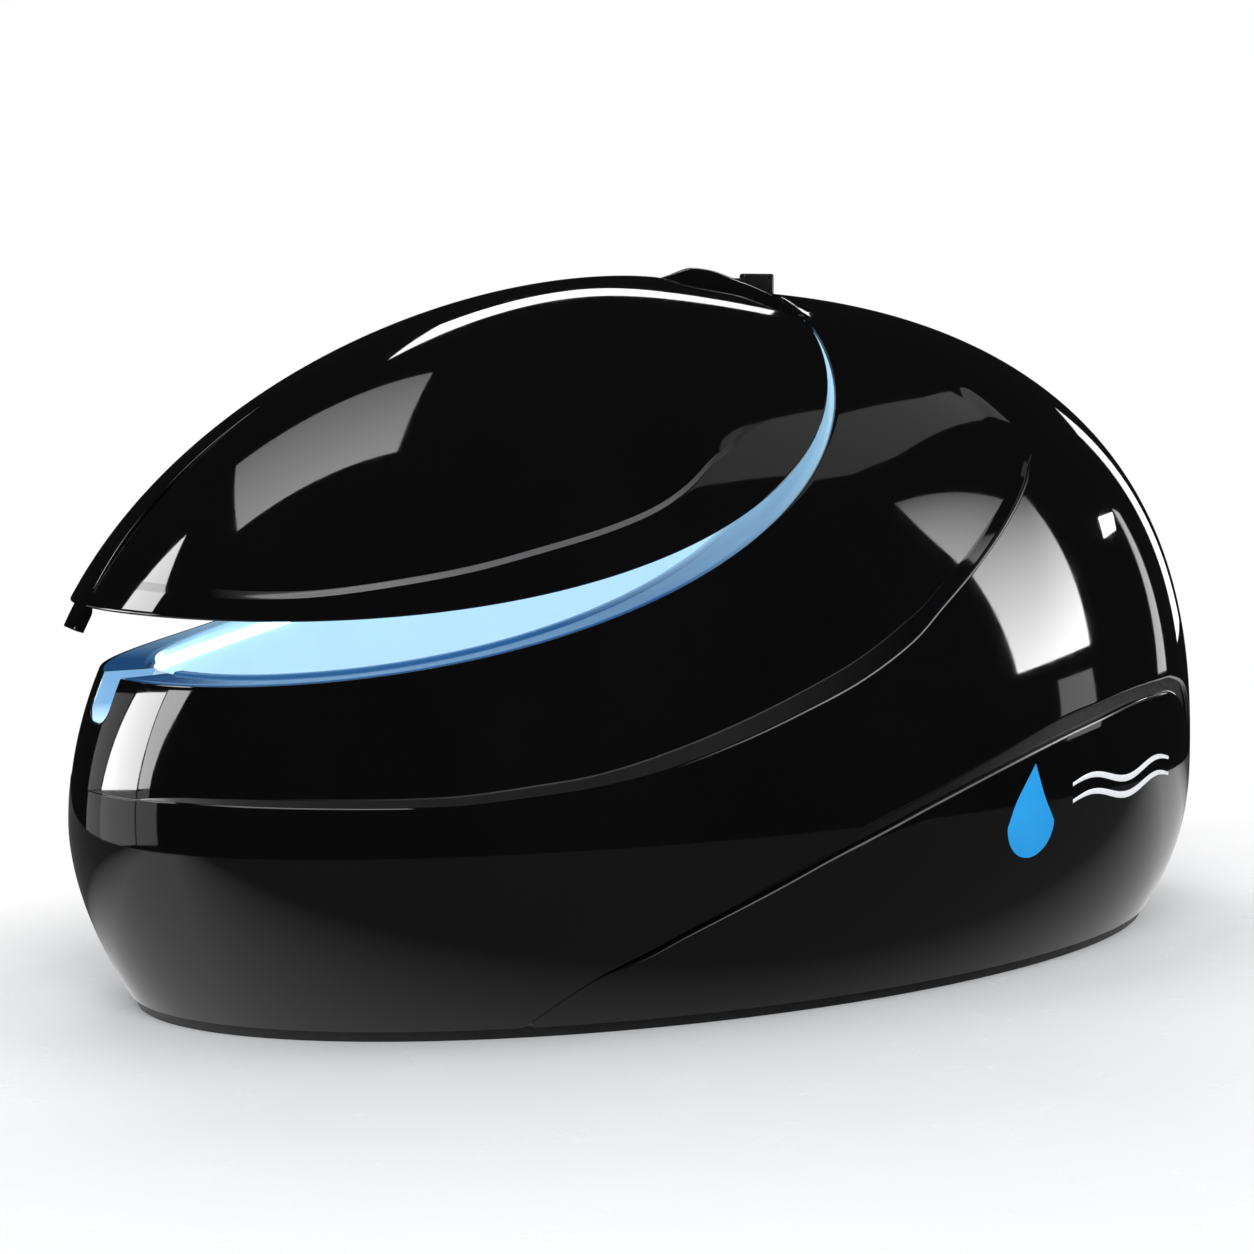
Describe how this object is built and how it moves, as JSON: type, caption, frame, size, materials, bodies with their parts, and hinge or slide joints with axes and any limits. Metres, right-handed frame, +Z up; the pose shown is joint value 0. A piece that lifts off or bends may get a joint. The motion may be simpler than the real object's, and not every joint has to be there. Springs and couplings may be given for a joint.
{
  "type": "flotation tank",
  "caption": "Egg-shaped gloss black flotation tank with a rear-hinged lid standing ajar over a pale blue tub, a raised side ledge, side access panels and a hand notch at the foot.",
  "frame": {"origin": "on the floor, under the middle of the body's length and width", "axes": "+X towards the head end with the hinge and the equipment bay, -X towards the foot end with the hand notch, +Z up"},
  "size_m": [2.6606, 1.4981, 1.4665],
  "materials": {
    "gelcoat_black": "mirror-gloss black gelcoat",
    "recess_black": "satin black laminate",
    "liner_white": "smooth white acrylic, lit pale blue",
    "rim_blue": "satin blue-grey acrylic",
    "seal_rubber": "soft black rubber",
    "light_strip": "frosted light strip",
    "lamp_glass": "clear lens",
    "frame_steel": "powder-coated grey steel",
    "stainless": "brushed stainless",
    "bright_chrome": "polished",
    "cylinder_black": "black enamel",
    "pipe_grey": "grey pipe plastic",
    "cap_dark": "dark moulded plastic",
    "cover_grey": "light grey cover",
    "lever_red": "red grip",
    "rotor_metal": "cast and turned",
    "board_ply": "sealed plywood",
    "button_blue": "blue push cap",
    "emblem_blue": "plain blue film",
    "emblem_pale": "plain pale film"
  },
  "bodies": {
    "tank": {"button_bezels": "stainless", "control_box": "cap_dark", "control_cover": "cover_grey", "cradle_ribs": "board_ply", "drain_valve": "pipe_grey", "emblem_drops": "emblem_blue", "emblem_waves": "emblem_pale", "equipment_shelf": "board_ply", "filter_cap": "cap_dark", "filter_housing": "pipe_grey", "floor_drain": "stainless", "heater_pipes": "pipe_grey", "hinge_bracket": "frame_steel", "hinge_cap": "recess_black", "hinge_pin": "bright_chrome", "inline_heater": "stainless", "joint_flange": "recess_black", "levelling_feet": "stainless", "lift_bracket": "frame_steel", "lift_cylinder": "cylinder_black", "lower_shell": "gelcoat_black", "notch_liner": "liner_white", "plinth": "recess_black", "power_inlet": "cap_dark", "pump_motor": "cylinder_black", "pump_suction_pipe": "pipe_grey", "pump_volute": "cap_dark", "return_jets": "stainless", "return_pipe": "pipe_grey", "rim_deck": "rim_blue", "rim_light": "light_strip", "rim_lip": "liner_white", "side_panel_far": "gelcoat_black", "side_panel_near": "gelcoat_black", "side_recess_far": "recess_black", "side_recess_near": "recess_black", "sound_transducers": "cap_dark", "suction_pipe": "pipe_grey", "tub_lamp_bodies": "stainless", "tub_lamp_lenses": "lamp_glass", "tub_liner": "liner_white", "underframe": "frame_steel", "upper_liner": "liner_white", "upper_shell": "gelcoat_black", "uv_unit": "stainless"},
    "lid": {"lid_shell": "gelcoat_black", "crown_cowl": "gelcoat_black", "lid_liner": "liner_white", "lid_rim": "rim_blue", "lid_seal": "seal_rubber", "lid_tab": "gelcoat_black", "hinge_arms": "frame_steel", "crank_pin": "bright_chrome", "grab_handle": "bright_chrome"},
    "lift_ram": {"lift_rod": "bright_chrome"},
    "drain_handle": {"drain_lever": "lever_red"},
    "pump_shaft": {"pump_rotor": "rotor_metal"},
    "call_push": {"call_button": "button_blue"},
    "light_push": {"light_button": "button_blue"}
  },
  "joints": [
    {"name": "lid_hinge", "type": "hinge", "parent": "tank", "child": "lid", "pos_m": [0.222, 0, 1.386], "axis": [0, 1, 0], "range_deg": [-5.2, 45]},
    {"name": "lift_slide", "type": "slide", "parent": "tank", "child": "lift_ram", "axis": [-1, 0, 0], "range_m": [-0.0116, 0.0991]},
    {"name": "drain_turn", "type": "hinge", "parent": "tank", "child": "drain_handle", "pos_m": [0.815, 0, 0.14], "axis": [0, 0, 1], "range_deg": [0, 90]},
    {"name": "pump_spin", "type": "hinge", "parent": "tank", "child": "pump_shaft", "pos_m": [1.118, 0, 0.138], "axis": [0, 1, 0], "continuous": true},
    {"name": "call_press", "type": "slide", "parent": "tank", "child": "call_push", "axis": [0, -1, 0], "range_m": [0, 0.004], "stiffness_N_per_m": 800},
    {"name": "light_press", "type": "slide", "parent": "tank", "child": "light_push", "axis": [0, 1, 0], "range_m": [0, 0.004], "stiffness_N_per_m": 800}
  ],
  "couplings": [
    {"joint": "lift_slide", "follows": "lid_hinge", "m_per_rad": 0.1259}
  ]
}
